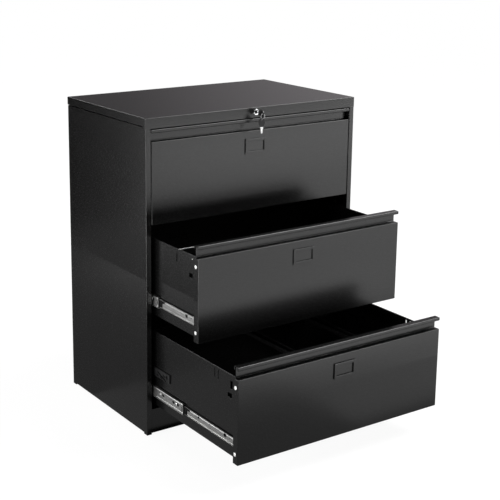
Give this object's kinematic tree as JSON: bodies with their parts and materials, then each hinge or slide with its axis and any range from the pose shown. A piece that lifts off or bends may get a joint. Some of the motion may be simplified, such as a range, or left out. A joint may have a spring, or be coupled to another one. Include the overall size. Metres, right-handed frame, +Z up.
{
  "type": "lateral filing cabinet",
  "caption": "Lateral filing cabinet of folded sheet steel: wide drawers on telescopic runners, full-width lip pulls, label holders, a key lock in the top and an interlock between the drawers.",
  "frame": {"origin": "on the floor, under the middle of the box around the cabinet with its middle and lower drawers open as in the picture", "axes": "+Z up, +X to the right as seen from the front, drawers open towards -Y"},
  "size_m": [0.8, 0.9574, 1],
  "materials": {
    "casing_paint": "satin charcoal powder coat",
    "drawer_paint": "satin charcoal powder coat",
    "zinc": "bright zinc plate",
    "chrome": "polished",
    "black_plastic": "moulded, slightly rough"
  },
  "bodies": {
    "cabinet": {"top_panel": "casing_paint", "side_panel_left": "casing_paint", "side_panel_right": "casing_paint", "back_panel": "casing_paint", "base_pan": "casing_paint", "foot_front_left": "black_plastic", "foot_front_right": "black_plastic", "foot_rear_left": "black_plastic", "foot_rear_right": "black_plastic", "upright_front_left": "casing_paint", "upright_front_right": "casing_paint", "upright_rear_left": "casing_paint", "upright_rear_right": "casing_paint", "lower_runner_outer_left": "zinc", "lower_runner_outer_right": "zinc", "middle_runner_outer_left": "zinc", "middle_runner_outer_right": "zinc", "upper_runner_outer_left": "zinc", "upper_runner_outer_right": "zinc", "lock_housing": "chrome", "lock_nut": "zinc"},
    "lock_plug": {"lock_plug": "chrome", "lock_crank": "zinc", "key": "black_plastic"},
    "key_ring": {"key_ring": "chrome"},
    "lock_link": {"lock_link": "zinc"},
    "interlock_bar": {"interlock_bar": "zinc"},
    "upper_runners": {"upper_runner_middle_left": "zinc", "upper_runner_middle_right": "zinc"},
    "upper_drawer": {"upper_tray": "drawer_paint", "upper_front": "drawer_paint", "upper_pull": "drawer_paint", "upper_label_holder": "drawer_paint", "upper_interlock_cam": "black_plastic", "upper_runner_inner_left": "zinc", "upper_runner_inner_right": "zinc", "upper_file_rail": "zinc"},
    "middle_runners": {"middle_runner_middle_left": "zinc", "middle_runner_middle_right": "zinc"},
    "middle_drawer": {"middle_tray": "drawer_paint", "middle_front": "drawer_paint", "middle_pull": "drawer_paint", "middle_label_holder": "drawer_paint", "middle_interlock_cam": "black_plastic", "middle_runner_inner_left": "zinc", "middle_runner_inner_right": "zinc", "middle_file_rail": "zinc"},
    "lower_runners": {"lower_runner_middle_left": "zinc", "lower_runner_middle_right": "zinc"},
    "lower_drawer": {"lower_tray": "drawer_paint", "lower_front": "drawer_paint", "lower_pull": "drawer_paint", "lower_label_holder": "drawer_paint", "lower_interlock_cam": "black_plastic", "lower_runner_inner_left": "zinc", "lower_runner_inner_right": "zinc", "lower_file_bar_left": "drawer_paint", "lower_file_bar_right": "drawer_paint"}
  },
  "joints": [
    {"name": "lock_turn", "type": "hinge", "parent": "cabinet", "child": "lock_plug", "pos_m": [0, -0.02125, 0.985], "axis": [0, 1, 0], "range_deg": [0, 90]},
    {"name": "key_ring_swing", "type": "hinge", "parent": "lock_plug", "child": "key_ring", "pos_m": [0, -0.05775, 0.9838], "axis": [1, 0, 0], "range_deg": [-60, 10]},
    {"name": "lock_link_slide", "type": "slide", "parent": "cabinet", "child": "lock_link", "axis": [-1, 0, 0], "range_m": [0, 0.009]},
    {"name": "interlock_lift", "type": "slide", "parent": "cabinet", "child": "interlock_bar", "axis": [0, 0, 1], "range_m": [0, 0.012]},
    {"name": "upper_runners_slide", "type": "slide", "parent": "cabinet", "child": "upper_runners", "axis": [0, -1, 0], "range_m": [0, 0.215]},
    {"name": "upper_drawer_slide", "type": "slide", "parent": "upper_runners", "child": "upper_drawer", "axis": [0, -1, 0], "range_m": [0, 0.25]},
    {"name": "middle_runners_slide", "type": "slide", "parent": "cabinet", "child": "middle_runners", "axis": [0, -1, 0], "range_m": [-0.067, 0.148]},
    {"name": "middle_drawer_slide", "type": "slide", "parent": "middle_runners", "child": "middle_drawer", "axis": [0, -1, 0], "range_m": [-0.187, 0.063]},
    {"name": "lower_runners_slide", "type": "slide", "parent": "cabinet", "child": "lower_runners", "axis": [0, -1, 0], "range_m": [-0.206, 0.009]},
    {"name": "lower_drawer_slide", "type": "slide", "parent": "lower_runners", "child": "lower_drawer", "axis": [0, -1, 0], "range_m": [-0.25, 0]}
  ],
  "couplings": [
    {"joint": "lock_turn", "follows": "lock_link_slide", "rad_per_m": 174.53}
  ]
}
